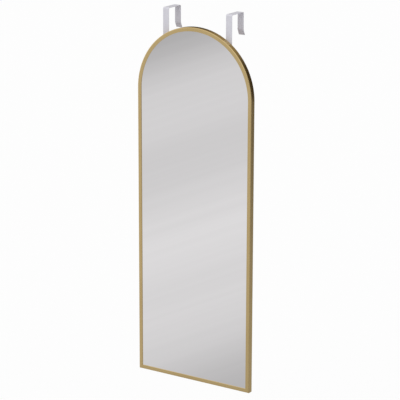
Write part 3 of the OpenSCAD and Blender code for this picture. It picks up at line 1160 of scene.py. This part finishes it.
@dataclass
class Surround:
    """What the studio shows to a ray.

    The camera sees plain white behind the object, and matt surfaces get even light from all sides. Metal
    and glass reflect a pale room, as the real mirror does: soft level bands with fine streaks along them,
    duller further down, and a few round cards over them, warm and dark near the horizon and pale below.
    """

    view_azimuth_deg: float  # how far round to the right the camera stands, which the bands lean across
    white: float = 0.986
    ambient: float = 0.69
    band_lean_deg: float = 18.0
    bands: tuple[Point2, ...] = (  # how far down a ray looks, as a sine, and the level there
        (0.0, 1.2), (0.12, 0.8), (0.165, 0.47), (0.19, 0.656), (0.207, 0.72),
        (0.234, 0.683), (0.268, 0.787), (0.292, 0.745), (0.305, 0.747), (0.325, 0.66),
        (0.345, 0.52), (0.4, 0.53), (0.55, 0.6), (1.0, 0.66),
    )
    streak_w: float = 0.003  # the streaks' width and length, as sines, and how much their level strays
    streak_l: float = 0.035
    streak_depth: float = 0.035
    cards: tuple[Card, ...] = (
        Card(azimuth=107, height=4, core=18, edge=34, tone="#696159"),
        Card(azimuth=-10, height=30, core=20, edge=55, tone="#a29780"),
        Card(azimuth=-33, height=13, core=6, edge=22, tone="#595345"),
        Card(azimuth=33, height=8, core=14, edge=34, tone="#3c3324"),
        Card(azimuth=33, height=-46, core=4, edge=26, tone="#edeae7"),
        Card(azimuth=121, height=-50, core=4, edge=30, tone="#edeae7"),
    )

    def room(self, tree: NodeTree) -> Node:
        """Draws what metal and glass reflect, by the direction that a ray goes in.

        Args:
            tree: The world's node tree.

        Returns:
            The node with the room's colour.
        """
        ray = add(tree, "TexCoord").outputs["Generated"]
        # The bands lie square to this, which is straight down but for their lean.
        down = direction(self.view_azimuth_deg + RIGHT_ANGLE_DEG, self.band_lean_deg - RIGHT_ANGLE_DEG)
        along = down.cross(Vector((0, 0, 1))).normalized()
        depth = add(tree, "VectorMath", {0: ray, 1: down}, operation="DOT_PRODUCT")
        run = add(tree, "VectorMath", {0: ray, 1: along}, operation="DOT_PRODUCT")
        levels = add(tree, "ValToRGB", {"Fac": depth})
        levels.color_ramp.interpolation = "CARDINAL"
        stops = levels.color_ramp.elements
        stops.remove(stops[-1])
        for i, (at, level) in enumerate(self.bands):
            stop = stops.new(at) if i else stops[0]
            stop.position = at
            stop.color = (level, level, level, 1)
        spot = add(tree, "CombineXYZ", {"X": depth, "Y": run})
        squeeze = (1 / self.streak_w, 1 / self.streak_l, 1)
        drawn = add(tree, "Mapping", {"Vector": spot, "Scale": squeeze})
        streaks = add(tree, "TexNoise", {"Vector": drawn, "Scale": 1.0, "Detail": Detail.MIDDLE})
        span = {"To Min": 1 - self.streak_depth, "To Max": 1 + self.streak_depth}
        share = add(tree, "MapRange", {"Value": streaks, **span})
        seen = add(tree, "VectorMath", {0: levels, "Scale": share}, operation="SCALE")
        for card in self.cards:
            seen = card.cover(tree, ray, seen)
        return seen

    def build(self) -> None:
        """Makes the world."""
        world = bpy.data.worlds.new("studio")
        world.use_nodes = True
        world.cycles.sampling_method = "NONE"  # so that each kind of ray meets only its own branch below
        bpy.context.scene.world = world
        tree = world.node_tree
        path = add(tree, "LightPath")
        even = add(tree, "Background", {"Color": WHITE, "Strength": self.ambient})
        room = add(tree, "Background", {"Color": self.room(tree), "Strength": 1.0})
        lit = add(tree, "MixShader", {0: path.outputs["Is Glossy Ray"], 1: even, 2: room})
        white = add(tree, "Background", {"Color": WHITE, "Strength": self.white})
        seen = add(tree, "MixShader", {0: path.outputs["Is Camera Ray"], 1: lit, 2: white})
        tree.links.new(seen.outputs[0], tree.nodes["World Output"].inputs["Surface"])


@dataclass
class Floor:
    """The floor, as far below the door's top as a door is high. It keeps the object's shadow."""

    door_h: float = 2.03
    half_size: float = 40.0

    def build(self) -> None:
        """Lays the floor."""
        half, z = self.half_size, -self.door_h
        corners = [(-half, -half, z), (half, -half, z), (half, half, z), (-half, half, z)]
        mesh = bpy.data.meshes.new("floor")
        mesh.from_pydata(corners, [], [range(len(corners))])
        floor = bpy.data.objects.new("floor", mesh)
        bpy.context.scene.collection.objects.link(floor)
        floor.visible_glossy = False
        dress(floor, PaleFloor())


@dataclass
class SoftLamp:
    """A broad, distant lamp such as a large softbox."""

    name: str
    azimuth_deg: float
    height_deg: float
    spread_deg: float
    level: float  # what it adds to a white card that faces it
    distance: float = 3.0

    def build(self) -> None:
        """Hangs the lamp and points it at the object."""
        light = bpy.data.lights.new(self.name, "SUN")
        light.energy = self.level * math.pi
        light.angle = math.radians(self.spread_deg)
        lamp = bpy.data.objects.new(self.name, light)
        towards = direction(self.azimuth_deg, self.height_deg)
        lamp.rotation_mode = "QUATERNION"
        lamp.rotation_quaternion = towards.to_track_quat("Z", "Y")
        lamp.location = towards * self.distance
        lamp.visible_glossy = False  # metal and glass see the bright parts of the surround instead
        bpy.context.scene.collection.objects.link(lamp)


@dataclass
class Viewpoint:
    """The photograph's viewing angle: a long lens to the right of the mirror, looking down on it."""

    azimuth_deg: float = 33.219
    pitch_deg: float = 15.459
    roll_deg: float = 0.156
    lens_mm: float = 174.3
    sensor_mm: float = 36.0
    sight: float = 200.0  # how far the camera sees, which takes in the whole floor
    stand_off: float = 4.7321  # from the middle of the mirror's front face, along the floor
    aside: float = 0.0169
    height: float = 0.8283  # above the door's top

    def build(self) -> None:
        """Makes the camera and sets it as the scene's."""
        front_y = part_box("frame_arch")[0].y
        around = Matrix.Rotation(math.radians(self.azimuth_deg), 4, "Z")
        tilt = Matrix.Rotation(math.radians(RIGHT_ANGLE_DEG - self.pitch_deg), 4, "X")
        roll = Matrix.Rotation(math.radians(self.roll_deg), 4, "Z")
        data = bpy.data.cameras.new("camera")
        data.lens = self.lens_mm
        data.sensor_width = self.sensor_mm
        data.clip_end = self.sight
        camera = bpy.data.objects.new("camera", data)
        place = around @ Vector((self.aside, -self.stand_off, self.height)) + Vector((0, front_y, 0))
        camera.matrix_world = Matrix.Translation(place) @ around @ tilt @ roll
        bpy.context.scene.collection.objects.link(camera)
        bpy.context.scene.camera = camera


# ---------- the whole ----------


def report(piece: Object) -> None:
    """Reports a piece, and for a built one how far its box is off that of the CAD node it stands for.

    Args:
        piece: The piece.
    """
    node = piece.name.removesuffix(PIECE_ENDING)
    faces = len(piece.data.polygons)
    if node == piece.name:
        log.info("%s: CAD mesh kept, %d faces", node, faces)
        return
    corners = [piece.matrix_world @ Vector(corner) for corner in piece.bound_box]
    sides = zip(zip(*corners), *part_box(node))
    off = max(max(abs(min(found) - low), abs(max(found) - high)) for found, low, high in sides)
    log.info("%s: %d faces, its box within %.2f mm of the CAD's", node, faces, off / MM)


def main() -> None:
    """Builds the mirror's looks, the studio and the camera."""
    logging.basicConfig(level=logging.INFO, format="%(name)s: %(message)s")
    bpy.context.scene.view_settings.view_transform = "Standard"
    viewpoint = Viewpoint()
    viewpoint.build()
    panel, bar = Panel(), CrossBar()
    hooks = [Hook(side, panel, bar) for side in Side]
    bumpers = [Bumper(side) for side in Side]
    parts: list[SubAssembly] = [panel, bar, *hooks, *bumpers, Fastenings()]
    pieces = [piece for part in parts for piece in part.build()]
    bpy.context.view_layer.update()
    for piece in pieces:
        report(piece)
    Surround(viewpoint.azimuth_deg).build()
    Floor().build()
    SoftLamp("key_softbox", azimuth_deg=172, height_deg=58, spread_deg=60, level=0.4).build()


if __name__ == "__main__":
    main()
